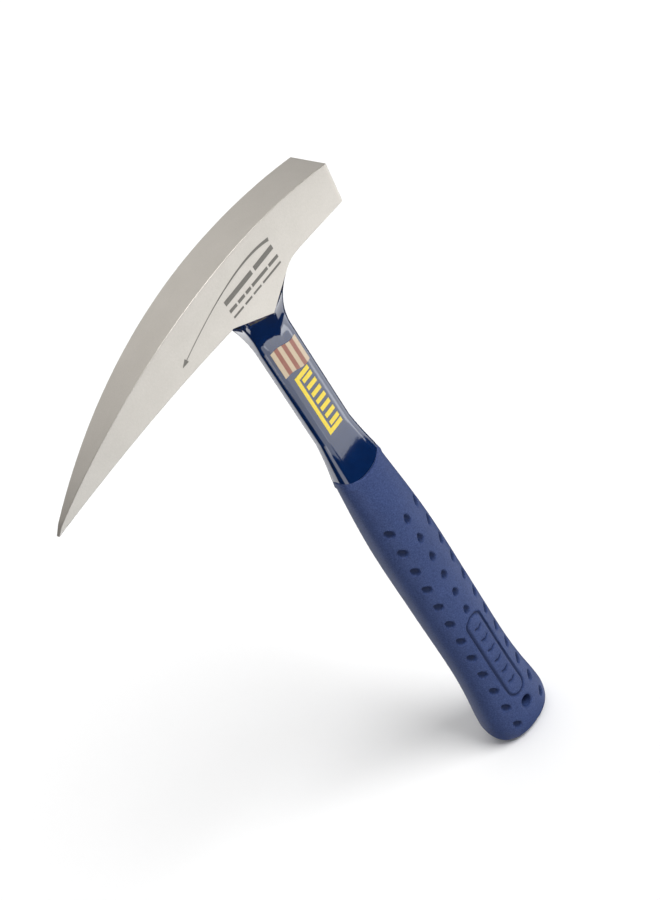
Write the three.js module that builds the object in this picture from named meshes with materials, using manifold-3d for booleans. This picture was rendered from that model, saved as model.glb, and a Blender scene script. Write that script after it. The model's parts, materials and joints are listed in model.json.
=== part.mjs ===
// Rock hammer: a one-piece forged steel pick hammer with a lacquered shank and a moulded
// vinyl grip. Millimetres, +Z up along the handle. The striking face points along +X and
// the pick along -X. The origin is the middle of the flat at the butt of the grip.

import * as THREE from "three";
import { mergeVertices } from "three/addons/utils/BufferGeometryUtils.js";
import Module from "manifold-3d";

const wasm = await Module();
wasm.setup();

const DEG = Math.PI / 180;

// Overall sizes; the height is the grip, the shank that shows and the head, one on another
const GRIP_LENGTH = 191.6; // butt to the lowest point of the mouth's edge
const SHANK_LENGTH = 112.4; // mouth of the grip to the underside of the head
const HEAD_DEPTH = 26; // underside to the crest of the crown
const FACE_REACH = 59.4; // handle axis to the top edge of the striking face
const PICK_REACH = 127.8; // handle axis to the point of the pick

// Head
const HEAD_WIDTH = 20.6; // across the cheeks
const CROWN_RADIUS = 258; // arc of the whole top, seen from the side
const CREST_X = -6.8;
const FACE_HEIGHT = 19.5;
const FACE_TILT = 6 * DEG; // the striking face looks slightly down
const TAPER_START_X = -2.3; // the cheeks close towards the point in an arc from here
const POINT_WIDTH = 1.4;
const POINT_DEPTH = 2.6; // crown to underside at the root of the point
const POINT_LENGTH = 3.5;
const POINT_HEEL = 0.6; // the underside drops this much to the chisel's edge
const PICK_UNDERSIDE_ARCH = 3.2; // how far the pick's underside arches up

// Apron: the cheeks run down over the neck in a shallow V
const APRON_DROP = 11.3; // underside to the tip of the V
const APRON_X = 1.2;
const APRON_HALF = 19.6; // middle of the V to either end, along X
const APRON_BLEND = 4; // the V's face side runs into the underside in an arc, this far each way

// Neck and shank
const SHANK_WIDTH = 20.4;
const SHANK_THICKNESS = 8;
const EDGE_POWER = 3.4; // squareness of the shank's section, where 2 is an ellipse
const EDGE_SHARPENING = 8; // added to the squareness at the head
const NECK_FILLET_RISE = 27; // height of the fillets under the head
const NECK_FILLET_FACE = 18; // reach of the fillet on the face side
const NECK_FILLET_PICK = 9.5; // reach of the fillet on the pick side
const NECK_OVERLAP = 3; // how far the neck runs up into the head
const COVE_LENGTH = 17; // hollow that thins the cheeks down to the shank
const COVE_MARGIN = 0.05; // the coves end this far inside the cheeks
const FLARE_LENGTH = 26; // the shank widens above the grip
const FLARE_WIDTH = 3.2; // added to each side at the mouth of the grip
const FLARE_THICKNESS = 2.9; // added to each flat at the mouth of the grip
const FLARE_WIDTH_POWER = 1.2; // how late the sides of the flare open
const FLARE_THICKNESS_POWER = 1.6; // how late its flats open
const FLARE_LIMIT = 1.1; // the flare stops growing just inside the grip

// Lacquer coat over the neck and shank
const COAT_THICKNESS = 0.5;
const CLEARANCE = 0.3; // gap kept between neighbouring pieces
const COAT_TOP_GAP = 0.36; // straight down from the head, so that the sloping gap is CLEARANCE

// Tang inside the grip
const TANG_WIDTH = 17;
const TANG_THICKNESS = 6;
const TANG_END = 32; // height of the tang's lower end above the butt
const SHOULDER_DROP = 4; // mouth of the grip down to the shoulder
const SHOULDER_LENGTH = 14; // shank to tang, inside the mouth of the grip
const SHOULDER_MARGIN = 0.5; // the shoulder ends this much wider than the tang
const WINDOW_LENGTH = 22; // windows in the tang that the vinyl fills
const WINDOW_WIDTH = 7;
const WINDOW_COUNT = 3;

// Grip
const GRIP_WIDTH = 31.6;
const GRIP_THICKNESS = 26.6;
const MOUTH_WIDTH = 26.6;
const MOUTH_THICKNESS = 16;
const MOUTH_EDGE_RADIUS = 22; // the mouth's edge dips in an arc on each flat
const MOUTH_ARC_SHARE = 0.9; // half width of that arc, as a share of its radius
const BUTT_WIDTH = 37.4;
const BUTT_THICKNESS = 29;
const BUTT_FLAT_WIDTH = 25;
const BUTT_FLAT_THICKNESS = 18;
const GRIP_POWER = 2.25; // squareness of the grip's section
const HANG_HOLE_DIAMETER = 6.6;
const HANG_HOLE_HEIGHT = 19.3;

// Profile of the grip: what is added to the half width and half thickness, and where
const BUTT_STATIONS = [[-1.7, -1.6, 3], [0, -0.1, 10], [-0.2, 0, 17]]; // height above the butt
const LOW_STATIONS = [[1, 0.3, 34], [0, -0.2, 52]]; // height above the butt
const HIGH_STATIONS = [[-0.1, -0.1, 48], [-1.2, -1.4, 24]]; // depth below the mouth
const MOUTH_STATIONS = [[0.5, 1.8, 9], [0, 0, -2], [-0.7, -0.9, -12]]; // depth below the mouth

// Transfers on the shank's flat
const TRANSFER_THICKNESS = 0.25;
const PATCH_SIZE = 15;
const PATCH_DROP = 31; // underside of the head to the top of the patch
const BARS_WIDTH = 9;
const BARS_LENGTH = 36;
const BARS_GAP = 2; // between the patch and the bars

// Fineness of the curves, and how far a cutting shape reaches past what it cuts
const OUTLINE_SEGMENTS = 28;
const PLAN_SEGMENTS = 12;
const MOUTH_SEGMENTS = 20;
const WINDOW_SEGMENTS = 8;
const CORNER_SEGMENTS = 6;
const HOLE_SEGMENTS = 24;
const NECK_ROWS = 14; // up the fillets
const SHOULDER_ROWS = 4;
const FLARE_ROWS = 7;
const SHANK_ROWS = 2;
const NECK_SEGMENTS = [16, 4]; // across the width and the thickness
const GRIP_ROWS = 44;
const GRIP_SEGMENTS = [10, 8];
const OVERSHOOT = 2;

// Places that follow from the sizes above
const UNDERSIDE_Z = GRIP_LENGTH + SHANK_LENGTH;
const OVERALL_HEIGHT = UNDERSIDE_Z + HEAD_DEPTH;
const APRON_TIP_Z = UNDERSIDE_Z - APRON_DROP;
const APRON_SLOPE = Math.atan2(APRON_DROP, APRON_HALF);
const FACE_FILLET_X = SHANK_WIDTH / 2 + NECK_FILLET_FACE;
const PICK_FILLET_X = -SHANK_WIDTH / 2 - NECK_FILLET_PICK;
const NECK_BASE_Z = UNDERSIDE_Z - NECK_FILLET_RISE;
const NECK_TOP_Z = UNDERSIDE_Z + NECK_OVERLAP;
const FLARE_TOP_Z = GRIP_LENGTH + FLARE_LENGTH;
const SHOULDER_TOP_Z = GRIP_LENGTH - SHOULDER_DROP;
const SHOULDER_BASE_Z = SHOULDER_TOP_Z - SHOULDER_LENGTH;
const CROWN_CENTRE_Z = OVERALL_HEIGHT - CROWN_RADIUS;

function crownZ(x) {
  return CROWN_CENTRE_Z + Math.sqrt(CROWN_RADIUS ** 2 - (x - CREST_X) ** 2);
}

function solid(geometry) {
  geometry.deleteAttribute("normal");
  geometry.deleteAttribute("uv");
  const merged = mergeVertices(geometry, 1e-4);
  const mesh = new wasm.Mesh({
    numProp: 3,
    vertProperties: merged.attributes.position.array,
    triVerts: new Uint32Array(merged.index.array),
  });
  return new wasm.Manifold(mesh);
}

function geometryOf(manifold) {
  const mesh = manifold.getMesh();
  const geometry = new THREE.BufferGeometry();
  geometry.setAttribute("position", new THREE.BufferAttribute(mesh.vertProperties, 3));
  geometry.setIndex(new THREE.BufferAttribute(mesh.triVerts, 1));
  const flat = geometry.toNonIndexed();
  flat.computeVertexNormals();
  return flat;
}

// Extrudes an outline drawn in X and Z to the given width, centred on Y = 0.
function sidePrism(shape, width, curveSegments) {
  const options = { depth: width, bevelEnabled: false, curveSegments };
  const geometry = new THREE.ExtrudeGeometry(shape, options);
  geometry.rotateX(Math.PI / 2);
  geometry.translate(0, width / 2, 0);
  return solid(geometry);
}

// Extrudes an outline drawn in X and Y from zLow to zHigh.
function planPrism(shape, zLow, zHigh) {
  const options = { depth: zHigh - zLow, bevelEnabled: false, curveSegments: PLAN_SEGMENTS };
  const geometry = new THREE.ExtrudeGeometry(shape, options);
  geometry.translate(0, 0, zLow);
  return solid(geometry);
}

// Reshapes a box with one row of faces per station. section(z) gives the left and right ends
// of the outline there, its squareness and its half thickness at any x.
function column(stations, [widthSegments, thicknessSegments], section) {
  const rows = stations.length - 1;
  const box = new THREE.BoxGeometry(2, 2, rows, widthSegments, thicknessSegments, rows);
  const position = box.attributes.position;
  for (let i = 0; i < position.count; i += 1) {
    const u = position.getX(i);
    const v = position.getY(i);
    const z = stations[Math.round(position.getZ(i) + rows / 2)];
    const { left, right, power, half } = section(z);
    const reach = Math.max(Math.abs(u), Math.abs(v));
    const norm = (Math.abs(u) ** power + Math.abs(v) ** power) ** (1 / power);
    const scale = norm > 0 ? reach / norm : 1;
    const x = (left + right) / 2 + (u * scale * (right - left)) / 2;
    const y = v * scale * half(x);
    position.setXYZ(i, x, y, z);
  }
  return solid(box);
}

// Side outline of the head: face, crown, pick, underside and the V of the apron.
function headOutline() {
  const faceTopZ = crownZ(FACE_REACH);
  const faceFootX = FACE_REACH - FACE_HEIGHT * Math.sin(FACE_TILT);
  const faceFootZ = faceTopZ - FACE_HEIGHT * Math.cos(FACE_TILT);
  const pointRootX = -PICK_REACH + POINT_LENGTH;
  const pointZ = crownZ(pointRootX) - POINT_DEPTH;
  const faceAngle = Math.acos((FACE_REACH - CREST_X) / CROWN_RADIUS);
  const pointAngle = Math.acos((pointRootX - CREST_X) / CROWN_RADIUS);
  const shape = new THREE.Shape();
  shape.moveTo(faceFootX, faceFootZ);
  shape.lineTo(FACE_REACH, faceTopZ);
  shape.absarc(CREST_X, CROWN_CENTRE_Z, CROWN_RADIUS, faceAngle, pointAngle, false);
  shape.lineTo(-PICK_REACH, pointZ - POINT_HEEL);
  const middleX = (pointRootX + PICK_FILLET_X) / 2;
  const middleZ = (pointZ + UNDERSIDE_Z) / 2 + 2 * PICK_UNDERSIDE_ARCH;
  shape.quadraticCurveTo(middleX, middleZ, PICK_FILLET_X, UNDERSIDE_Z);
  shape.lineTo(APRON_X - APRON_HALF, UNDERSIDE_Z);
  shape.lineTo(APRON_X, APRON_TIP_Z);
  const apronEndX = APRON_X + APRON_HALF;
  shape.lineTo(apronEndX - APRON_BLEND, UNDERSIDE_Z - APRON_BLEND * Math.tan(APRON_SLOPE));
  shape.quadraticCurveTo(apronEndX, UNDERSIDE_Z, apronEndX + APRON_BLEND, UNDERSIDE_Z);
  shape.lineTo(FACE_FILLET_X, UNDERSIDE_Z);
  shape.closePath();
  return shape;
}

// Half width of the head at x: full at the face, closing in an arc to the point.
function headHalfWidth(x) {
  const share = Math.min(1, Math.max(0, (TAPER_START_X - x) / (TAPER_START_X + PICK_REACH)));
  return THREE.MathUtils.lerp(HEAD_WIDTH / 2, POINT_WIDTH / 2, share ** 2);
}

function headSolid() {
  const middleX = (TAPER_START_X - PICK_REACH) / 2;
  const plan = new THREE.Shape();
  plan.moveTo(FACE_REACH + OVERSHOOT, -HEAD_WIDTH / 2);
  plan.lineTo(FACE_REACH + OVERSHOOT, HEAD_WIDTH / 2);
  plan.lineTo(TAPER_START_X, HEAD_WIDTH / 2);
  plan.quadraticCurveTo(middleX, HEAD_WIDTH / 2, -PICK_REACH, POINT_WIDTH / 2);
  plan.lineTo(-PICK_REACH, -POINT_WIDTH / 2);
  plan.quadraticCurveTo(middleX, -HEAD_WIDTH / 2, TAPER_START_X, -HEAD_WIDTH / 2);
  plan.closePath();
  const side = sidePrism(headOutline(), HEAD_WIDTH + OVERSHOOT, OUTLINE_SEGMENTS);
  return side.intersect(planPrism(plan, 0, OVERALL_HEIGHT + OVERSHOOT));
}

// Half thickness of the neck and shank at (x, z), with the coves under the apron.
function neckHalfThickness(x, z) {
  const shank = SHANK_THICKNESS / 2 + FLARE_THICKNESS * flareShare(z) ** FLARE_THICKNESS_POWER;
  const below = Math.abs(x - APRON_X) * Math.sin(APRON_SLOPE) - (z - APRON_TIP_Z) * Math.cos(APRON_SLOPE);
  const rise = headHalfWidth(x) - COVE_MARGIN - SHANK_THICKNESS / 2;
  const radius = (COVE_LENGTH ** 2 + rise ** 2) / (2 * rise);
  const along = COVE_LENGTH - Math.min(COVE_LENGTH, Math.max(0, below));
  return shank + radius - Math.sqrt(radius ** 2 - along ** 2);
}

// 0 on the plain shank, 1 at the mouth of the grip.
function flareShare(z) {
  return Math.min(FLARE_LIMIT, Math.max(0, (FLARE_TOP_Z - z) / FLARE_LENGTH));
}

// Section of the neck, shank and shoulder, drawn in by inset all round, fillets too.
function neckSection(z, inset) {
  const rise = Math.min(1, Math.max(0, (z - inset - NECK_BASE_Z) / NECK_FILLET_RISE));
  const hollow = 1 - Math.sqrt(1 - rise ** 2);
  const flare = FLARE_WIDTH * flareShare(z) ** FLARE_WIDTH_POWER;
  const shoulder = Math.min(1, Math.max(0, (SHOULDER_TOP_Z - z) / SHOULDER_LENGTH));
  const drawIn = THREE.MathUtils.smoothstep(shoulder, 0, 1);
  const full = SHANK_WIDTH / 2 + flare;
  const tangGrow = CLEARANCE + SHOULDER_MARGIN - inset;
  const half = THREE.MathUtils.lerp(full - inset, TANG_WIDTH / 2 + tangGrow, drawIn);
  return {
    left: -half - NECK_FILLET_PICK * hollow,
    right: half + NECK_FILLET_FACE * hollow,
    power: EDGE_POWER + EDGE_SHARPENING * rise,
    half: (x) => {
      const thickness = neckHalfThickness(x, z - inset) - inset;
      return THREE.MathUtils.lerp(thickness, TANG_THICKNESS / 2 + tangGrow, drawIn);
    },
  };
}

// Heights at which the neck and shank change shape, close together where they curve.
function neckStations() {
  const stations = [];
  const addRun = (from, to, rows) => {
    for (let i = 0; i < rows; i += 1) {
      stations.push(from + ((to - from) * i) / rows);
    }
  };
  addRun(SHOULDER_BASE_Z, SHOULDER_TOP_Z, SHOULDER_ROWS);
  addRun(SHOULDER_TOP_Z, FLARE_TOP_Z, FLARE_ROWS);
  addRun(FLARE_TOP_Z, NECK_BASE_Z, SHANK_ROWS);
  for (let i = 0; i <= NECK_ROWS; i += 1) {
    const turn = (Math.PI / 2) * (i / NECK_ROWS);
    stations.push(NECK_BASE_Z + NECK_FILLET_RISE * Math.sin(turn));
  }
  stations.push(NECK_TOP_Z);
  return stations;
}

function neckSolid(inset) {
  return column(neckStations(), NECK_SEGMENTS, (z) => neckSection(z, inset));
}

function tangWindow(index, grow) {
  const pitch = (SHOULDER_BASE_Z - TANG_END) / WINDOW_COUNT;
  const middleZ = TANG_END + pitch * (index + 0.5);
  const radius = WINDOW_WIDTH / 2 + grow;
  const straight = (WINDOW_LENGTH - WINDOW_WIDTH) / 2;
  const slot = new THREE.Shape();
  slot.absarc(0, middleZ - straight, radius, Math.PI, 2 * Math.PI, false);
  slot.absarc(0, middleZ + straight, radius, 0, Math.PI, false);
  slot.closePath();
  return sidePrism(slot, TANG_THICKNESS + 2 * OVERSHOOT, WINDOW_SEGMENTS);
}

// The tang, drawn out by grow all round; its windows shrink by as much.
function tangSolid(grow) {
  const half = TANG_WIDTH / 2 + grow;
  const top = SHOULDER_BASE_Z + SHOULDER_LENGTH / 2;
  const corner = TANG_WIDTH / 4;
  const shape = new THREE.Shape();
  shape.moveTo(-half, top);
  shape.lineTo(-half, TANG_END + corner - grow);
  shape.quadraticCurveTo(-half, TANG_END - grow, -half + corner, TANG_END - grow);
  shape.lineTo(half - corner, TANG_END - grow);
  shape.quadraticCurveTo(half, TANG_END - grow, half, TANG_END + corner - grow);
  shape.lineTo(half, top);
  shape.closePath();
  let tang = sidePrism(shape, TANG_THICKNESS + 2 * grow, CORNER_SEGMENTS);
  for (let i = 0; i < WINDOW_COUNT; i += 1) {
    tang = tang.subtract(tangWindow(i, -grow));
  }
  return tang;
}

// Everything above the grip's mouth, whose edge dips in an arc on the flats.
function aboveMouth(lift) {
  const reach = BUTT_WIDTH;
  const shape = new THREE.Shape();
  const arcHalf = MOUTH_EDGE_RADIUS * MOUTH_ARC_SHARE;
  const start = Math.asin(MOUTH_ARC_SHARE);
  const centreZ = GRIP_LENGTH + MOUTH_EDGE_RADIUS + lift;
  shape.moveTo(-reach, OVERALL_HEIGHT + OVERSHOOT);
  shape.lineTo(-reach, centreZ - MOUTH_EDGE_RADIUS * Math.cos(start));
  shape.lineTo(-arcHalf, centreZ - MOUTH_EDGE_RADIUS * Math.cos(start));
  shape.absarc(0, centreZ, MOUTH_EDGE_RADIUS, -Math.PI / 2 - start, -Math.PI / 2 + start, false);
  shape.lineTo(reach, centreZ - MOUTH_EDGE_RADIUS * Math.cos(start));
  shape.lineTo(reach, OVERALL_HEIGHT + OVERSHOOT);
  shape.closePath();
  return sidePrism(shape, 2 * BUTT_THICKNESS, MOUTH_SEGMENTS);
}

function forgedBody() {
  return headSolid()
    .add(neckSolid(COAT_THICKNESS + CLEARANCE))
    .add(tangSolid(0));
}

function lacquerCoat() {
  const skin = neckSolid(0).subtract(neckSolid(COAT_THICKNESS));
  const outline = sidePrism(headOutline(), 2 * HEAD_WIDTH, OUTLINE_SEGMENTS);
  return skin.subtract(outline.translate([0, 0, -COAT_TOP_GAP])).intersect(aboveMouth(CLEARANCE));
}

// Grip profile: half width, half thickness and height, from the butt to above the mouth.
function gripProfile() {
  const above = (width, thickness, stations) =>
    stations.map(([x, y, z]) => new THREE.Vector3(width / 2 + x, thickness / 2 + y, z));
  const below = (width, thickness, stations) =>
    stations.map(([x, y, z]) => new THREE.Vector3(width / 2 + x, thickness / 2 + y, GRIP_LENGTH - z));
  const points = [
    new THREE.Vector3(BUTT_FLAT_WIDTH / 2, BUTT_FLAT_THICKNESS / 2, 0),
    ...above(BUTT_WIDTH, BUTT_THICKNESS, BUTT_STATIONS),
    ...above(GRIP_WIDTH, GRIP_THICKNESS, LOW_STATIONS),
    new THREE.Vector3(GRIP_WIDTH / 2, GRIP_THICKNESS / 2, GRIP_LENGTH / 2),
    ...below(GRIP_WIDTH, GRIP_THICKNESS, HIGH_STATIONS),
    ...below(MOUTH_WIDTH, MOUTH_THICKNESS, MOUTH_STATIONS),
  ];
  return new THREE.CatmullRomCurve3(points, false, "centripetal");
}

function gripSolid() {
  const profile = gripProfile().getPoints(GRIP_ROWS);
  const stations = profile.map((point) => point.z);
  const section = (z) => {
    const point = profile.find((candidate) => candidate.z === z);
    return { left: -point.x, right: point.x, power: GRIP_POWER, half: () => point.y };
  };
  return column(stations, GRIP_SEGMENTS, section);
}

function hangHole() {
  const radius = HANG_HOLE_DIAMETER / 2;
  const hole = new THREE.CylinderGeometry(radius, radius, 2 * BUTT_THICKNESS, HOLE_SEGMENTS);
  hole.translate(0, 0, HANG_HOLE_HEIGHT);
  return solid(hole);
}

function grip() {
  return gripSolid()
    .subtract(aboveMouth(0))
    .subtract(neckSolid(COAT_THICKNESS))
    .subtract(tangSolid(CLEARANCE))
    .subtract(hangHole());
}

// A thin film that follows the -Y side of the shank, between two heights.
function transfer(width, zLow, zHigh) {
  const block = new THREE.BoxGeometry(width, 2 * SHANK_THICKNESS, zHigh - zLow);
  block.translate(0, -SHANK_THICKNESS, (zLow + zHigh) / 2);
  return neckSolid(-CLEARANCE - TRANSFER_THICKNESS)
    .subtract(neckSolid(-CLEARANCE))
    .intersect(solid(block));
}

const PATCH_TOP_Z = UNDERSIDE_Z - PATCH_DROP;
const BARS_TOP_Z = PATCH_TOP_Z - PATCH_SIZE - BARS_GAP;

const steel = { color: 0xc9c5bf, roughness: 0.35, metalness: 1 };
const lacquer = { color: 0x0b2a5e, roughness: 0.12, metalness: 0 };
const vinyl = { color: 0x343d78, roughness: 0.6, metalness: 0 };
const patchFilm = { color: 0xb9a58c, roughness: 0.3, metalness: 0 };
const barsFilm = { color: 0xe8cf1e, roughness: 0.3, metalness: 0 };

const pieces = [
  ["forged_body", forgedBody(), steel],
  ["lacquer_coat", lacquerCoat(), lacquer],
  ["grip", grip(), vinyl],
  ["patch_transfer", transfer(PATCH_SIZE, PATCH_TOP_Z - PATCH_SIZE, PATCH_TOP_Z), patchFilm],
  ["bar_transfer", transfer(BARS_WIDTH, BARS_TOP_Z - BARS_LENGTH, BARS_TOP_Z), barsFilm],
];

const group = new THREE.Group();
for (const [name, shape, finish] of pieces) {
  const mesh = new THREE.Mesh(geometryOf(shape), new THREE.MeshStandardMaterial(finish));
  mesh.name = name;
  group.add(mesh);
}

export default group;
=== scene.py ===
"""Looks of a rock hammer: forged head, lacquered shank and moulded vinyl grip.

Metres, +Z up along the handle, the pick along -X and the striking face along +X.
"""

import json
import logging
import math
from collections.abc import Callable, Sequence
from dataclasses import dataclass
from enum import Enum

import bmesh
import bpy
from bmesh.types import BMEdge, BMesh
from bpy.types import Material, Node, NodeSocket, NodeTree, Object
from mathutils import Matrix, Vector


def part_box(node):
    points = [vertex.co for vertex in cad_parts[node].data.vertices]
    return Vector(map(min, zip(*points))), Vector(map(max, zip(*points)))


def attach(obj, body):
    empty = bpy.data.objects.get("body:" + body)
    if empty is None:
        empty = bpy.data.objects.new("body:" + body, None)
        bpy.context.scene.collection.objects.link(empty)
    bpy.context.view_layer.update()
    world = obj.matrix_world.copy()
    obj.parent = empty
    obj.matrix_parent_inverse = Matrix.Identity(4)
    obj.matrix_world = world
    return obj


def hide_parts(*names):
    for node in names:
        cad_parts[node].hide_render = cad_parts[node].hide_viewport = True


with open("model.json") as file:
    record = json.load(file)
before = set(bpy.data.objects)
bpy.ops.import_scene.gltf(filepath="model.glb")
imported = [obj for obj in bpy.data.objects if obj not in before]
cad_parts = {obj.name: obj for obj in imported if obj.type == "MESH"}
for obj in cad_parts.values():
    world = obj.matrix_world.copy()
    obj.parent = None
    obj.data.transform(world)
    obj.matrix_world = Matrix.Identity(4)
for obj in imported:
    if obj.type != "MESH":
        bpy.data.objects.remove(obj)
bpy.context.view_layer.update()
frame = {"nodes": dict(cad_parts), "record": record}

Pair = tuple[float, float]
Triple = tuple[float, float, float]
Station = tuple[Vector, Vector, float]  # middle, unit direction and half width

LOG = logging.getLogger("rock_hammer")
BODY = "root"
# point attribute that holds painted shade in the grip's dimples, mark grooves and hang hole, from
# 0 for none to 1 for the darkest
PAINTED_SHADE_ATTRIBUTE = "recess"
MM = 0.001
COAT_TOP_GAP = 0.36 * MM  # top of the coat to the underside of the head
MOUTH_GAP = 0.3 * MM  # mouth of the grip to the lower edge of the coat
NEARLY_ZERO = 1e-9


class Side(Enum):
    """The two flats of the hammer, by the sign of Y."""

    FRONT = -1
    BACK = 1


def clamp(value: float, low: float = 0.0, high: float = 1.0) -> float:
    """Returns value held between low and high."""
    return min(high, max(low, value))


def lerp(start: float, end: float, share: float) -> float:
    """Returns the value that lies the given share of the way from start to end."""
    return start + (end - start) * share


def signed_power(value: float, power: float) -> float:
    """Returns value to a power, with its own sign kept."""
    return math.copysign(abs(value) ** power, value)


# ---------------------------------------------------------------- shapes


@dataclass(frozen=True)
class HeadShape:
    """Side outline and plan of the forged head.

    The reaches and heights come from the frame; the rest are the radii and angles between them.
    """

    face_x: float
    point_x: float
    top_z: float
    underside_z: float
    half_width: float
    crown_radius: float = 258 * MM
    crest_x: float = -6.8 * MM
    face_height: float = 19.5 * MM
    face_tilt: float = math.radians(6)
    taper_start_x: float = -2.3 * MM
    point_half_width: float = 0.7 * MM
    point_depth: float = 2.6 * MM
    point_length: float = 3.5 * MM
    point_top_drop: float = 0.2 * MM
    point_bottom_drop: float = 0.6 * MM
    underside_arch: float = 6.4 * MM
    apron_x: float = 1.2 * MM
    apron_half: float = 19.6 * MM
    apron_drop: float = 11.3 * MM
    apron_blend: float = 4 * MM
    pick_fillet_x: float = -19.7 * MM
    face_fillet_x: float = 28.2 * MM

    @classmethod
    def from_frame(cls) -> "HeadShape":
        """Returns the head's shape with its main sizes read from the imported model."""
        low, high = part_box("forged_body")
        coat_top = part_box("lacquer_coat")[1].z
        return cls(high.x, low.x, high.z, coat_top + COAT_TOP_GAP, high.y)

    def crown(self, x: float) -> float:
        """Returns the height of the crown's arc at x."""
        across = x - self.crest_x
        return self.top_z - self.crown_radius + math.sqrt(self.crown_radius**2 - across**2)

    def width_at(self, x: float) -> float:
        """Returns the half width across the cheeks at x."""
        share = clamp((self.taper_start_x - x) / (self.taper_start_x - self.point_x))
        return lerp(self.half_width, self.point_half_width, share**2)

    def top(self, x: float) -> float:
        """Returns the height of the top surface at x, with the chisel of the point."""
        root_x = self.point_x + self.point_length
        if x >= root_x:
            return self.crown(x)
        low = self.crown(root_x) - self.point_depth - self.point_top_drop
        return lerp(low, self.crown(root_x), (x - self.point_x) / self.point_length)

    def apron(self, x: float) -> float:
        """Returns the height of the lower edge of the cheeks over the neck at x."""
        past = (x - self.apron_x - self.apron_half + self.apron_blend) / (2 * self.apron_blend)
        if 0 < past < 1:
            dip = (1 - past) ** 2 * self.apron_blend * self.apron_drop / self.apron_half
            return self.underside_z - dip
        share = clamp(abs(x - self.apron_x) / self.apron_half)
        return self.underside_z - self.apron_drop * (1 - share)

    def bottom(self, x: float) -> float:
        """Returns the height of the underside at x."""
        if x < self.pick_fillet_x:
            return self.pick_underside(x)
        if x <= self.face_fillet_x:
            return self.apron(x)
        foot_x, foot_z = self.face_foot()
        share = (x - self.face_fillet_x) / (foot_x - self.face_fillet_x)
        return lerp(self.underside_z, foot_z, share)

    def face_foot(self) -> Pair:
        """Returns X and Z of the lower edge of the striking face."""
        x = self.face_x - self.face_height * math.sin(self.face_tilt)
        return x, self.crown(self.face_x) - self.face_height * math.cos(self.face_tilt)

    def pick_underside(self, x: float) -> float:
        """Returns the height of the arched underside of the pick at x."""
        root_x = self.point_x + self.point_length
        root_z = self.crown(root_x) - self.point_depth
        start_z = root_z - self.point_bottom_drop
        middle_x = (root_x + self.pick_fillet_x) / 2
        middle_z = (root_z + self.underside_z) / 2 + self.underside_arch
        a = self.point_x - 2 * middle_x + self.pick_fillet_x
        b = 2 * (middle_x - self.point_x)
        c = self.point_x - x
        if abs(a) < NEARLY_ZERO:
            t = -c / b
        else:
            t = (-b + math.sqrt(max(0.0, b * b - 4 * a * c))) / (2 * a)
        return (1 - t) ** 2 * start_z + 2 * t * (1 - t) * middle_z + t**2 * self.underside_z


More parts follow.
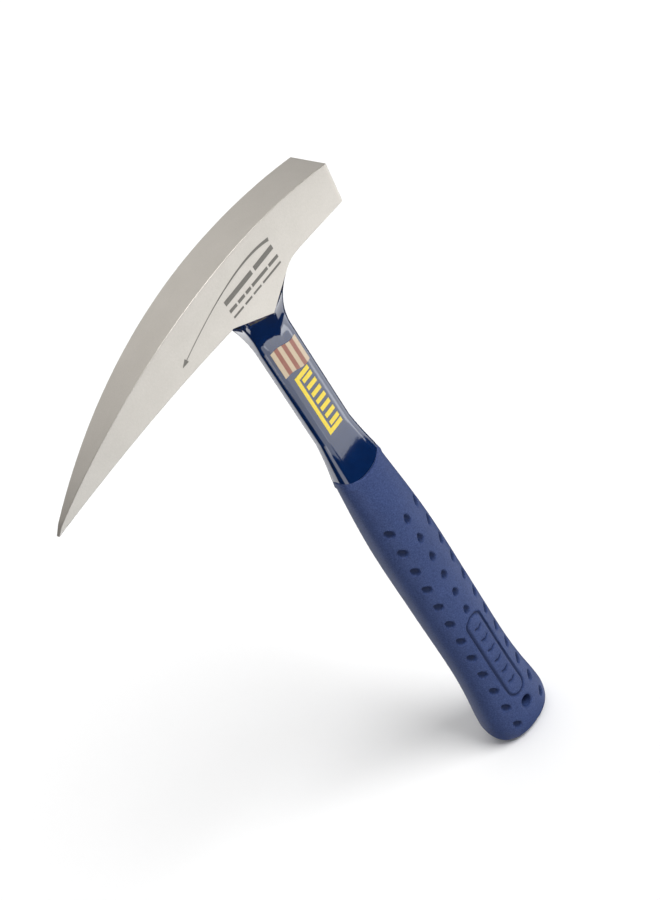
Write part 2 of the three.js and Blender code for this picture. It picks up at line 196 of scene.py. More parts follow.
@dataclass(frozen=True)
class NeckShape:
    """Section of the neck and shank at any height, with its fillets, coves and flare."""

    head: HeadShape
    mouth_z: float
    half_width: float = 10.2 * MM
    half_thickness: float = 4 * MM
    fillet_rise: float = 27 * MM
    fillet_face: float = 18 * MM
    fillet_pick: float = 9.5 * MM
    cove_length: float = 17 * MM
    cove_margin: float = 0.05 * MM
    flare_length: float = 26 * MM
    flare_width: float = 3.2 * MM
    flare_thickness: float = 2.9 * MM
    flare_limit: float = 1.1
    flare_width_power: float = 1.2
    flare_thickness_power: float = 1.6
    mouth_radius: float = 22 * MM
    mouth_arc_share: float = 0.9
    search_step: float = 0.1 * MM
    edge_power: float = 3.4
    edge_sharpening: float = 8.0

    @classmethod
    def from_frame(cls, head: HeadShape) -> "NeckShape":
        """Returns the neck's shape, with the height of the grip's mouth read from the frame."""
        return cls(head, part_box("lacquer_coat")[0].z - MOUTH_GAP)

    def flare(self, z: float) -> float:
        """Returns 0 on the plain shank and 1 at the mouth of the grip."""
        share = (self.mouth_z + self.flare_length - z) / self.flare_length
        return clamp(share, 0, self.flare_limit)

    def rise(self, z: float) -> float:
        """Returns how far z is up the fillets under the head, from 0 to 1."""
        return clamp((z - self.head.underside_z + self.fillet_rise) / self.fillet_rise)

    def sides(self, z: float, inset: float) -> Pair:
        """Returns the lowest and highest X of the section at z, drawn in by inset."""
        hollow = 1 - math.sqrt(1 - self.rise(z - inset) ** 2)
        half = self.half_width + self.flare_width * self.flare(z) ** self.flare_width_power - inset
        return -half - self.fillet_pick * hollow, half + self.fillet_face * hollow

    def thickness(self, x: float, z: float, inset: float) -> float:
        """Returns the half thickness at (x, z), with the coves under the apron."""
        head = self.head
        slope = math.atan2(head.apron_drop, head.apron_half)
        tip_z = head.underside_z - head.apron_drop
        level = z - inset
        below = abs(x - head.apron_x) * math.sin(slope) - (level - tip_z) * math.cos(slope)
        rise = head.width_at(x) - self.cove_margin - self.half_thickness
        radius = (self.cove_length**2 + rise**2) / (2 * rise)
        along = self.cove_length - clamp(below, 0, self.cove_length)
        flare = self.flare_thickness * self.flare(level) ** self.flare_thickness_power
        return self.half_thickness + flare + radius - math.sqrt(radius**2 - along**2) - inset

    def power(self, level: float) -> float:
        """Returns how square the section is at a level."""
        return self.edge_power + self.edge_sharpening * self.rise(level)

    def flat_at(self, x: float, z: float, inset: float) -> float:
        """Returns Y of the back flat at (x, z), with its rounded edges."""
        left, right = self.sides(z, inset)
        power = self.power(z - inset)
        across = clamp(abs(x - (left + right) / 2) / ((right - left) / 2))
        return (1 - across**power) ** (1 / power) * self.thickness(x, z, inset)

    def point(self, turn: float, z: float, inset: float) -> Vector:
        """Returns a point of the section at z.

        Args:
            turn: angle round the section, 0 on the face side and a quarter turn on the back flat.
            z: height of the section.
            inset: how far the section is drawn in.

        Returns:
            The point, with a quarter turn always on the crease under the tip of the apron.
        """
        left, right = self.sides(z, inset)
        reach = signed_power(math.cos(turn), 2 / self.power(z - inset))
        crease = self.head.apron_x
        x = crease + reach * (right - crease if reach > 0 else crease - left)
        y = self.flat_at(x, z, inset)
        return Vector((x, -y if math.sin(turn) < 0 else y, z))

    def top_at(self, turn: float, gap: float, inset: float) -> float:
        """Returns the height at which the section meets the head, less a gap."""
        z = self.head.underside_z - self.head.apron_drop - gap
        while z < self.head.underside_z - gap:
            x = self.point(turn, z, inset).x
            if z >= self.head.apron(x) - gap:
                return self.head.apron(x) - gap
            z += self.search_step
        return self.head.underside_z - gap

    def mouth_at(self, x: float) -> float:
        """Returns the height of the grip's edge at x, which dips in an arc on the flats."""
        across = min(abs(x), self.mouth_arc_share * self.mouth_radius)
        return self.mouth_z + self.mouth_radius - math.sqrt(self.mouth_radius**2 - across**2)


# ---------------------------------------------------------------- mesh helpers


def finish_mesh(name: str, mesh_data: BMesh, sharp: float = 30.0) -> Object:
    """Turns a bmesh into a smooth-shaded object with its hard edges kept.

    Args:
        name: name of the piece.
        mesh_data: closed geometry, freed here.
        sharp: angle in degrees past which an edge stays hard.

    Returns:
        The new object, linked to the scene.
    """
    bmesh.ops.recalc_face_normals(mesh_data, faces=mesh_data.faces)
    mesh = bpy.data.meshes.new(name)
    mesh_data.to_mesh(mesh)
    mesh_data.free()
    mesh.shade_smooth()
    mesh.set_sharp_from_angle(angle=math.radians(sharp))
    obj = bpy.data.objects.new(name, mesh)
    bpy.context.scene.collection.objects.link(obj)
    return obj


def loft(rings: Sequence[Sequence[Vector]], closed: bool = False) -> BMesh:
    """Joins rings of points into one closed body.

    Args:
        rings: rings of equal length, in order.
        closed: True where the last ring joins the first, as in a sleeve.

    Returns:
        The body, with both ends capped where it isn't a sleeve.
    """
    body = bmesh.new()
    rows = [[body.verts.new(point) for point in ring] for ring in rings]
    pairs = list(zip(rows, rows[1:]))
    if closed:
        pairs.append((rows[-1], rows[0]))
    count = len(rows[0])
    for low, high in pairs:
        for i in range(count):
            j = (i + 1) % count
            body.faces.new((low[i], low[j], high[j], high[i]))
    if not closed:
        body.faces.new(rows[0])
        body.faces.new(rows[-1])
    return body


def ribbon(stations: Sequence[Station], y_of: Callable[[float], float],
           thickness: float) -> BMesh:
    """Makes a thin closed film along a path in X and Z, on a side that faces -Y.

    Args:
        stations: middle, unit direction and half width at each step, all in X and Z.
        y_of: gives Y of the side under the film at x.
        thickness: thickness of the film, towards -Y.

    Returns:
        The film.
    """
    rings = []
    for middle, way, half in stations:
        across = Vector((way.y, -way.x)) * half
        ring = []
        corners = ((across, 0.0), (-across, 0.0), (-across, thickness), (across, thickness))
        for corner, depth in corners:
            x, z = middle + corner
            ring.append(Vector((x, y_of(x) - depth, z)))
        rings.append(ring)
    return loft(rings)


def join(parts: Sequence[BMesh]) -> BMesh:
    """Puts several bodies into one bmesh and frees them."""
    whole = bmesh.new()
    for part in parts:
        mesh = bpy.data.meshes.new("part")
        part.to_mesh(mesh)
        part.free()
        whole.from_mesh(mesh)
        bpy.data.meshes.remove(mesh)
    return whole


# ---------------------------------------------------------------- node helpers


class Field:
    """A socket of a node tree that takes part in arithmetic."""

    def __init__(self, tree: NodeTree, socket: NodeSocket) -> None:
        """Keeps the tree and the socket."""
        self.tree = tree
        self.socket = socket

    def math(self, operation: str, *others: "Field | float") -> "Field":
        """Returns this field joined to others by a Math node."""
        node = self.tree.nodes.new("ShaderNodeMath")
        node.operation = operation
        self.tree.links.new(self.socket, node.inputs[0])
        for place, other in enumerate(others, start=1):
            if isinstance(other, Field):
                self.tree.links.new(other.socket, node.inputs[place])
            else:
                node.inputs[place].default_value = other
        return Field(self.tree, node.outputs[0])

    def clamped(self) -> "Field":
        """Returns the value held between 0 and 1."""
        return self.math("MAXIMUM", 0.0).math("MINIMUM", 1.0)

    def __add__(self, other: "Field | float") -> "Field":
        """Returns the sum."""
        return self.math("ADD", other)

    def __sub__(self, other: "Field | float") -> "Field":
        """Returns the difference."""
        return self.math("SUBTRACT", other)

    def __mul__(self, other: "Field | float") -> "Field":
        """Returns the product."""
        return self.math("MULTIPLY", other)

    def __truediv__(self, other: "Field | float") -> "Field":
        """Returns the quotient."""
        return self.math("DIVIDE", other)


class Graph:
    """Builds one node tree, geometry or shader."""

    def __init__(self, tree: NodeTree) -> None:
        """Keeps the tree that is built."""
        self.tree = tree

    def node(self, kind: str, links: dict | None = None, values: dict | None = None,
             **settings: object) -> Node:
        """Adds a node.

        Args:
            kind: the node's type name.
            links: sockets or fields to link, by input name or place.
            values: plain values, by input name or place.
            settings: the node's own properties.

        Returns:
            The node.
        """
        node = self.tree.nodes.new(kind)
        for name, value in settings.items():
            setattr(node, name, value)
        for name, value in (values or {}).items():
            node.inputs[name].default_value = value
        for name, source in (links or {}).items():
            socket = source.socket if isinstance(source, Field) else source
            self.tree.links.new(socket, node.inputs[name])
        return node

    def field(self, socket: NodeSocket) -> Field:
        """Returns a socket as a field."""
        return Field(self.tree, socket)


class Surface(Graph):
    """A Principled material with procedural patterns on Object coordinates."""

    def __init__(self, name: str, values: dict[str, object] | None = None) -> None:
        """Starts a material, with plain values for sockets of its shader."""
        self.material = bpy.data.materials.new(name)
        self.material.use_nodes = True
        super().__init__(self.material.node_tree)
        self.shader = self.tree.nodes["Principled BSDF"]
        for socket, value in (values or {}).items():
            self.shader.inputs[socket].default_value = value

    def place(self) -> NodeSocket:
        """Returns the Object coordinates."""
        return self.node("ShaderNodeTexCoord").outputs["Object"]

    def noise(self, scale: float, detail: float = 2.0,
              stretch: Triple = (1, 1, 1)) -> Field:
        """Adds a noise pattern.

        Args:
            scale: how many grains lie in a metre.
            detail: octaves of finer grain.
            stretch: scale along each axis.

        Returns:
            The noise value.
        """
        mapping = self.node("ShaderNodeMapping", {"Vector": self.place()}, {"Scale": stretch})
        values = {"Scale": scale, "Detail": detail}
        pattern = self.node("ShaderNodeTexNoise", {"Vector": mapping.outputs[0]}, values)
        return self.field(pattern.outputs["Fac"])

    def spread(self, value: Field, low: float, high: float) -> Field:
        """Returns a 0 to 1 value spread between low and high."""
        node = self.node("ShaderNodeMapRange", {"Value": value}, {"To Min": low, "To Max": high})
        return self.field(node.outputs[0])

    def colour(self, share: Field, first: tuple, second: tuple) -> None:
        """Colours the shader between two colours, by a share."""
        mix = self.node("ShaderNodeMix", data_type="RGBA")
        self.tree.links.new(share.socket, mix.inputs["Factor"])
        inks = [socket for socket in mix.inputs if socket.type == "RGBA"]
        inks[0].default_value, inks[1].default_value = (*first, 1), (*second, 1)
        result = next(socket for socket in mix.outputs if socket.type == "RGBA")
        self.tree.links.new(result, self.shader.inputs["Base Color"])

    def roughness(self, value: Field, low: float, high: float) -> None:
        """Gives the shader a roughness between low and high."""
        self.tree.links.new(self.spread(value, low, high).socket, self.shader.inputs["Roughness"])

    def relief(self, height: Field, depth: float, strength: float) -> None:
        """Adds relief of a depth in metres, of which the given share shows."""
        values = {"Strength": strength, "Distance": depth}
        node = self.node("ShaderNodeBump", {"Height": height}, values)
        self.tree.links.new(node.outputs[0], self.shader.inputs["Normal"])


def dress(obj: Object, material: Material) -> None:
    """Gives an object one material."""
    obj.data.materials.clear()
    obj.data.materials.append(material)


def settle(obj: Object) -> None:
    """Turns an object and its modifier into one plain mesh."""
    graph = bpy.context.evaluated_depsgraph_get()
    plain = bpy.data.meshes.new_from_object(obj.evaluated_get(graph))
    obj.modifiers.clear()
    obj.data = plain


def seat(obj: Object, slot: str, *nodes: str) -> None:
    """Puts a finished piece on the body, in place of its CAD nodes.

    Args:
        obj: the piece.
        slot: the record's material slot; not used.
        nodes: CAD nodes that the piece stands for.
    """
    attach(obj, BODY)
    if nodes:
        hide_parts(*nodes)
    LOG.info("piece %s: %d faces", obj.name, len(obj.data.polygons))


# ---------------------------------------------------------------- finishes


@dataclass(frozen=True)
class SatinSteel:
    """Forged steel, belt-finished to an even satin."""

    pale: Triple = (0.52, 0.49, 0.45)
    deep: Triple = (0.37, 0.345, 0.31)
    roughness: Pair = (0.30, 0.42)
    cloud: float = 90
    cloud_share: float = 0.35
    grain: float = 2600
    grain_stretch: Triple = (1, 1, 0.35)
    grain_depth: float = 0.022 * MM
    relief: float = 0.6

    def material(self) -> Material:
        """Returns the steel's material."""
        steel = Surface("satin_steel", {"Metallic": 1})
        fine = steel.noise(self.grain, 3, self.grain_stretch)
        mixed = steel.noise(self.cloud, 4) * self.cloud_share + fine * (1 - self.cloud_share)
        steel.colour(mixed, self.deep, self.pale)
        steel.roughness(fine, *self.roughness)
        steel.relief(fine, self.grain_depth, self.relief)
        return steel.material


@dataclass(frozen=True)
class NavyLacquer:
    """Glossy navy lacquer with a slight orange peel."""

    deep: Triple = (0.0005, 0.008, 0.045)
    lit: Triple = (0.001, 0.018, 0.085)
    roughness: float = 0.055
    refraction: float = 1.6
    cloud: float = 120
    peel: tuple[Pair, ...] = ((420, 0.6), (1500, 0.12))  # scale and share
    peel_depth: float = 0.05 * MM
    relief: float = 0.5

    def material(self) -> Material:
        """Returns the lacquer's material."""
        lacquer = Surface("navy_lacquer", {"Roughness": self.roughness, "IOR": self.refraction})
        lacquer.colour(lacquer.noise(self.cloud, 3), self.deep, self.lit)
        coarse, fine = (lacquer.noise(scale) * share for scale, share in self.peel)
        lacquer.relief(coarse + fine, self.peel_depth, self.relief)
        return lacquer.material


@dataclass(frozen=True)
class MouldedVinyl:
    """Matt blue vinyl with a fine speckle, darkened by painted shade in its recesses."""

    pale: Triple = (0.052, 0.083, 0.222)
    shade: Triple = (0.004, 0.012, 0.050)
    # share of the colour left where the painted shade is darkest
    recess_shade: float = 0.14
    speckle: float = 1500
    speckle_spread: Pair = (-0.15, 1.45)
    speckle_depth: float = 0.045 * MM
    cloud: float = 60
    cloud_share: float = 0.25
    roughness: Pair = (0.40, 0.58)
    specular: float = 0.1
    relief: float = 0.7

    def material(self) -> Material:
        """Returns the vinyl's material."""
        vinyl = Surface("moulded_vinyl", {"Specular IOR Level": self.specular})
        speckle = vinyl.noise(self.speckle, 4)
        mixed = vinyl.spread(speckle, *self.speckle_spread) * (1 - self.cloud_share)
        mixed = mixed + vinyl.noise(self.cloud) * self.cloud_share
        # painted shade: the colour falls towards the dark tone where the recess attribute is high
        painted_shade_mask = vinyl.node("ShaderNodeAttribute", attribute_name=PAINTED_SHADE_ATTRIBUTE).outputs["Fac"]
        unshaded_share = vinyl.spread(vinyl.field(painted_shade_mask), 1.0, self.recess_shade)
        vinyl.colour(mixed * unshaded_share, self.shade, self.pale)
        vinyl.roughness(speckle, *self.roughness)
        vinyl.relief(speckle, self.speckle_depth, self.relief)
        return vinyl.material


@dataclass(frozen=True)
class EtchedMark:
    """Dark grey etching on the steel."""

    dark: Triple = (0.095, 0.088, 0.078)
    pale: Triple = (0.20, 0.19, 0.17)
    metal: float = 0.3
    grain: float = 2600
    grain_depth: float = 0.01 * MM
    roughness: Pair = (0.45, 0.65)
    relief: float = 0.5

    def material(self) -> Material:
        """Returns the etching's material."""
        mark = Surface("etched_mark", {"Metallic": self.metal})
        fine = mark.noise(self.grain, 3)
        mark.colour(fine, self.dark, self.pale)
        mark.roughness(fine, *self.roughness)
        mark.relief(fine, self.grain_depth, self.relief)
        return mark.material


@dataclass(frozen=True)
class PrintedFilm:
    """A printed transfer: two inks in plain stripes, or one where the stripes have no width."""

    name: str
    ink: Triple
    second_ink: Triple
    stripe_pitch: float = 0.0
    stripe_sharpness: float = 14
    wear: float = 0.35
    grain: float = 1400
    grain_depth: float = 0.02 * MM
    roughness: Pair = (0.28, 0.42)
    relief: float = 0.5

    def material(self) -> Material:
        """Returns the film's material."""
        film = Surface(self.name)
        grain = film.noise(self.grain, 3)
        share = grain
        if self.stripe_pitch > 0:
            axes = film.node("ShaderNodeSeparateXYZ", {"Vector": film.place()})
            wave = (film.field(axes.outputs["X"]) / self.stripe_pitch).math("FRACT")
            wave = (wave - 0.5).math("ABSOLUTE")
            stripes = ((wave - 0.25) * self.stripe_sharpness + 0.5).clamped()
            share = (stripes + (grain - 0.5) * self.wear).clamped()
        film.colour(share, self.ink, self.second_ink)
        film.roughness(grain, *self.roughness)
        film.relief(grain, self.grain_depth, self.relief)
        return film.material


# ---------------------------------------------------------------- sub-assemblies


@dataclass
class ForgedBody:
    """Head, neck and tang, forged in one."""

    head: HeadShape
    neck: NeckShape
    edge_radius: float = 0.22 * MM
    edge_margin: float = 0.12 * MM
    edge_share: float = 0.45
    margin_share: float = 0.3
    edge_steps: int = 4
    station_gap: float = 1.6 * MM
    inset: float = 0.8 * MM
    tang_cut_z: float = 0.25
    core_around: int = 96
    core_rows: int = 40
    core_below_cut: float = 5 * MM
    core_in_head: float = 1 * MM
    weld: float = 0.001 * MM
    sharp_angle: float = 24

    def section(self, x: float, inset: float) -> list[Vector]:
        """Returns the rounded oblong of the head at x, drawn in by inset at the face."""
        head = self.head
        half = head.width_at(x) - inset
        top, bottom = head.top(x) - inset, head.bottom(x) + inset
        radius = min(self.edge_radius, self.edge_share * half, self.edge_share * (top - bottom))
        lean = clamp((x - head.face_fillet_x) / (head.face_x - head.face_fillet_x))
        shear = math.tan(head.face_tilt) * lean
        ring = []
        corners = ((1, 1, 0), (-1, 1, 1), (-1, -1, 2), (1, -1, 3))
        for across, up, quarter in corners:
            middle_y = across * (half - radius)
            middle_z = (top if up > 0 else bottom) - up * radius
            margin = min(self.edge_margin, self.margin_share * (half - radius))
            turns = [(quarter + step / self.edge_steps) * math.pi / 2
                     for step in range(self.edge_steps + 1)]
            round_edge = [(radius * math.cos(turn), radius * math.sin(turn)) for turn in turns]
            first, last = round_edge[0], round_edge[-1]
            start, end = turns[0], turns[-1]
            before = (first[0] + margin * math.sin(start), first[1] - margin * math.cos(start))
            after = (last[0] - margin * math.sin(end), last[1] + margin * math.cos(end))
            for out_y, out_z in (before, *round_edge, after):
                y, z = middle_y + out_y, middle_z + out_z
                ring.append(Vector((x - shear * (head.top(x) - z), y, z)))
        return ring

    def stations(self) -> list[Pair]:
        """Returns X and inset of every section, from the point to the striking face."""
        head = self.head
        corners = [
            head.point_x,
            head.point_x + head.point_length,
            head.pick_fillet_x,
            head.apron_x - head.apron_half,
            head.apron_x,
            head.apron_x + head.apron_half - head.apron_blend,
            head.apron_x + head.apron_half + head.apron_blend,
            head.face_fillet_x,
            head.face_x - self.edge_radius,
        ]
        places = []
        for low, high in zip(corners, corners[1:]):
            steps = max(1, round((high - low) / self.station_gap))
            places.extend((lerp(low, high, i / steps), 0.0) for i in range(steps))
        for step in range(self.edge_steps + 1):
            turn = math.pi / 2 * step / self.edge_steps
            x = head.face_x - self.edge_radius * (1 - math.sin(turn))
            places.append((x, self.edge_radius * (1 - math.cos(turn))))
        places.append((head.face_x, self.edge_radius + self.edge_margin))
        return places

    def neck_core(self) -> BMesh:
        """Returns the neck inside the lacquer, up into the head."""
        turns = [math.tau * i / self.core_around for i in range(self.core_around)]
        low = self.tang_cut_z - self.core_below_cut
        high = self.head.underside_z + self.core_in_head
        levels = [lerp(low, high, i / self.core_rows) for i in range(self.core_rows + 1)]
        return loft([[self.neck.point(turn, z, self.inset) for turn in turns] for z in levels])

    def tang(self) -> BMesh:
        """Returns the lower shank and tang, cut from a copy of the CAD node."""
        copy = bmesh.new()
        copy.from_mesh(frame["nodes"]["forged_body"].data)
        bmesh.ops.remove_doubles(copy, verts=copy.verts, dist=self.weld)
        everything = copy.verts[:] + copy.edges[:] + copy.faces[:]
        cut = bmesh.ops.bisect_plane(copy, geom=everything, plane_co=(0, 0, self.tang_cut_z),
                                     plane_no=(0, 0, 1), clear_outer=True)
        edges = [item for item in cut["geom_cut"] if isinstance(item, BMEdge)]
        bmesh.ops.holes_fill(copy, edges=edges)
        return copy

    def build(self) -> Object:
        """Returns the whole forging as one piece."""
        head = loft([self.section(x, inset) for x, inset in self.stations()])
        whole = join([head, self.neck_core(), self.tang()])
        return finish_mesh("forged_body_steel", whole, self.sharp_angle)


@dataclass
class LacquerCoat:
    """The navy coat over neck and shank, from the grip's mouth to the underside of the head."""

    neck: NeckShape
    thickness: float = 0.5 * MM
    head_gap: float = 0.06 * MM
    mouth_gap: float = 0.15 * MM
    mouth_passes: int = 8
    around: int = 160
    rows: int = 110
    sharp_angle: float = 35

    def skin(self, inset: float) -> list[list[Vector]]:
        """Returns the rings of one skin of the coat, from the mouth up."""
        columns = []
        for i in range(self.around):
            turn = math.tau * i / self.around
            low = self.neck.mouth_z
            for _ in range(self.mouth_passes):
                low = self.neck.mouth_at(self.neck.point(turn, low, inset).x) + self.mouth_gap
            high = self.neck.top_at(turn, self.head_gap, inset)
            heights = [lerp(low, high, row / self.rows) for row in range(self.rows + 1)]
            columns.append([self.neck.point(turn, z, inset) for z in heights])
        return [[column[row] for column in columns] for row in range(self.rows + 1)]

    def build(self) -> Object:
        """Returns the coat as a closed sleeve."""
        rings = self.skin(0) + self.skin(self.thickness)[::-1]
        return finish_mesh("lacquer_coat_navy", loft(rings, closed=True), self.sharp_angle)


@dataclass
class Dimples:
    """Rows of seed-shaped recesses, pressed into a surface by Geometry Nodes."""

    rows: int
    top_z: float
    pitch: float
    column_x: float
    lean: float
    length: float = 2.8 * MM
    width: float = 1.8 * MM
    depth: float = 1.6 * MM
    taper: float = -0.22
    bowl_power: float = 0.36
    # how the painted shade grows towards the bottom of each bowl
    shade_power: float = 0.5

    def sizes(self) -> dict[str, float]:
        """Returns the sizes that the node tree takes in, by name."""
        return {"Rows": float(self.rows), "Top": self.top_z, "Pitch": self.pitch,
                "Column": self.column_x, "Lean": self.lean, "Length": self.length,
                "Width": self.width, "Depth": self.depth}

    def tree(self) -> NodeTree:
        """Returns the node tree that sinks the rows of recesses into a mesh and stores painted
        shade in them.
        """
        tree = bpy.data.node_groups.new("dimple_rows", "GeometryNodeTree")
        sockets = [("Geometry", "NodeSocketGeometry"),
                   *((name, "NodeSocketFloat") for name in self.sizes()),
                   ("Material", "NodeSocketMaterial")]
        for name, kind in sockets:
            tree.interface.new_socket(name=name, in_out="INPUT", socket_type=kind)
        tree.interface.new_socket(name="Geometry", in_out="OUTPUT",
                                  socket_type="NodeSocketGeometry")
        graph = Graph(tree)
        given = graph.node("NodeGroupInput").outputs
        size = {name: graph.field(given[name]) for name in self.sizes()}
        position = graph.node("GeometryNodeInputPosition").outputs[0]
        axes = graph.node("ShaderNodeSeparateXYZ", {0: position})
        x, z = graph.field(axes.outputs["X"]), graph.field(axes.outputs["Z"])
        top, pitch, lean = size["Top"], size["Pitch"], size["Lean"]
        row = ((top - z) / pitch).math("ROUND").math("MAXIMUM", 0.0)
        row = row.math("MINIMUM", size["Rows"] - 1.0)
        up = z - (top - row * pitch)
        out = x.math("ABSOLUTE") - size["Column"]
        along = up * lean.math("COSINE") + out * lean.math("SINE")
        across = out * lean.math("COSINE") - up * lean.math("SINE")
        seed = along / size["Length"]
        narrow = (seed * self.taper + 1.0) * size["Width"]
        oval = seed.math("POWER", 2.0) + (across / narrow).math("POWER", 2.0)
        bowl = (oval * -1.0 + 1.0).math("MAXIMUM", 0.0).math("POWER", self.bowl_power)
        sink = bowl * size["Depth"] * -1.0
        normal = graph.node("GeometryNodeInputNormal").outputs[0]
        offset = graph.node("ShaderNodeVectorMath", {0: normal}, operation="SCALE")
        tree.links.new(sink.socket, offset.inputs["Scale"])
        moved = graph.node("GeometryNodeSetPosition",
                           {"Geometry": given["Geometry"], "Offset": offset.outputs[0]})
        # painted shade: each bowl's darkness is stored, kept with any painted shade already on the
        # mesh
        earlier_painted_shade = graph.node("GeometryNodeInputNamedAttribute", values={"Name": PAINTED_SHADE_ATTRIBUTE},
                           data_type="FLOAT")
        shade = bowl.math("POWER", self.shade_power)
        darkest_painted_shade = shade.math("MAXIMUM", graph.field(earlier_painted_shade.outputs["Attribute"]))
        stored = graph.node("GeometryNodeStoreNamedAttribute",
                            {"Geometry": moved.outputs[0], "Value": darkest_painted_shade},
                            {"Name": PAINTED_SHADE_ATTRIBUTE}, data_type="FLOAT", domain="POINT")
        real = graph.node("GeometryNodeRealizeInstances", {0: stored.outputs[0]})
        dressed = graph.node("GeometryNodeSetMaterial",
                             {"Geometry": real.outputs[0], "Material": given["Material"]})
        output = graph.node("NodeGroupOutput")
        tree.links.new(dressed.outputs[0], output.inputs[0])
        return tree

    def press(self, obj: Object, material: Material) -> None:
        """Presses the rows into an object and leaves a plain mesh.

        Args:
            obj: the piece.
            material: its material.
        """
        tree = self.tree()
        modifier = obj.modifiers.new("dimples", "NODES")
        modifier.node_group = tree
        given = {**self.sizes(), "Material": material}
        for item in tree.interface.items_tree:
            if item.in_out == "INPUT" and item.name in given:
                modifier[item.identifier] = given[item.name]
        settle(obj)


@dataclass
class VinylGrip:
    """The moulded grip, with its dimples, recessed mark and hang hole."""

    neck: NeckShape
    butt_half_width: float
    butt_half_thickness: float
    hole_z: float
    hole_radius: float = 3.3 * MM
    hole_lip: float = 1.0 * MM
    hole_lip_share: float = 0.45
    hole_segments: int = 56
    bit_reach: float = 4
    section_power: float = 2.25
    around: int = 200
    rows: int = 430
    mark_low: float = 27 * MM
    mark_high: float = 87 * MM
    mark_half_width: float = 5.2 * MM
    mark_groove: float = 0.8 * MM
    mark_depth: float = 0.85 * MM
    mark_bars: int = 6
    mark_bar_half: float = 2.6 * MM
    mark_bar_slant: float = 0.5
    mark_bar_power: int = 6
    groove_power: float = 0.6
    relief_fade: float = 2
    lip_radius: float = 0.7 * MM
    lip_steps: int = 5
    bore_depth: float = 4 * MM
    bore_rows: int = 3
    bore_gap: float = 0.05 * MM
    mouth_passes: int = 6
    dimple_rows: int = 12
    middle_rows: int = 6
    dimple_top: float = 159.8 * MM
    dimple_low: float = 12.8 * MM
    dimple_column: float = 10.4 * MM
    dimple_lean: float = math.radians(20)
    middle_width: float = 1.5 * MM
    curve_steps: int = 14
    sharp_angle: float = 50

    @classmethod
    def from_frame(cls, neck: NeckShape, margin: float = 0.1 * MM) -> "VinylGrip":
        """Reads the grip's sizes from the frame.

        Args:
            neck: the neck and shank that the grip stands on.
            margin: how far the smooth surface keeps inside the CAD's box.

        Returns:
            The grip.
        """
        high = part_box("grip")[1] - Vector((margin, margin, 0))
        openings = frame["record"]["physics"]["openings"]
        hole = next(item for item in openings if item["name"] == "hang_hole")
        low_corner, high_corner = hole["box_m"]
        return cls(neck, high.x, high.y, (low_corner[2] + high_corner[2]) / 2)

    def profile(self) -> list[Vector]:
        """Returns the listed stations of the grip's side: half width, half thickness, height."""
        width, thick, mouth = self.butt_half_width, self.butt_half_thickness, self.neck.mouth_z
        body_width, body_thick = width - 2.9 * MM, thick - 1.2 * MM
        return [
            Vector((width - 6.2 * MM, thick - 5.5 * MM, 0)),
            Vector((width - 1.7 * MM, thick - 1.6 * MM, 3 * MM)),
            Vector((width, thick - 0.1 * MM, 10 * MM)),
            Vector((width - 0.2 * MM, thick, 17 * MM)),
            Vector((body_width + 1 * MM, body_thick + 0.3 * MM, 34 * MM)),
            Vector((body_width, body_thick - 0.2 * MM, 52 * MM)),
            Vector((body_width, body_thick, mouth / 2)),
            Vector((body_width - 0.1 * MM, body_thick - 0.1 * MM, mouth - 48 * MM)),
            Vector((body_width - 1.2 * MM, body_thick - 1.4 * MM, mouth - 24 * MM)),
            Vector((body_width - 2.0 * MM, body_thick - 3.5 * MM, mouth - 9 * MM)),
            Vector((body_width - 2.5 * MM, body_thick - 5.3 * MM, mouth + 2 * MM)),
            Vector((body_width - 3.2 * MM, body_thick - 6.2 * MM, mouth + 12 * MM)),
        ]

    def size_at(self, z: float) -> Pair:
        """Returns half width and half thickness at z."""
        curve = self.curve()
        for low, high in zip(curve, curve[1:]):
            if z <= high.z:
                share = clamp((z - low.z) / (high.z - low.z))
                return lerp(low.x, high.x, share), lerp(low.y, high.y, share)
        return curve[-1].x, curve[-1].y

    def curve(self) -> list[Vector]:
        """Returns the profile as a smooth curve through its stations, made once."""
        if not hasattr(self, "_curve"):
            self._curve = smooth_curve(self.profile(), self.curve_steps)
        return self._curve

    def groove(self, off: float) -> float:
        """Returns the depth of a groove at a distance from its middle, in half widths."""
        return self.mark_depth * max(0.0, 1 - off**2) ** self.groove_power

    def relief(self, x: float, z: float, side: Side) -> float:
        """Returns how deep the mark and the hole's lip sink the surface at (x, z)."""
        sink = 0.0
        if side is Side.FRONT:
            low = self.mark_low + self.mark_half_width
            high = self.mark_high - self.mark_half_width
            nearest = clamp(z, low, high)
            off = abs(math.hypot(x, z - nearest) - self.mark_half_width)
            sink = self.groove(off / self.mark_groove)
            for i in range(self.mark_bars):
                middle = lerp(low, high, (i + 0.5) / self.mark_bars)
                reach = abs(x) / self.mark_bar_half
                lift = abs(z - middle - self.mark_bar_slant * abs(x)) / self.mark_groove
                if reach < 1:
                    sink = max(sink, self.groove(lift) * (1 - reach**self.mark_bar_power))
        rim = (math.hypot(x, z - self.hole_z) - self.hole_radius) / self.hole_lip
        if rim < 1:
            sink = max(sink, self.hole_lip * self.hole_lip_share * (1 - clamp(rim)) ** 2)
        return sink

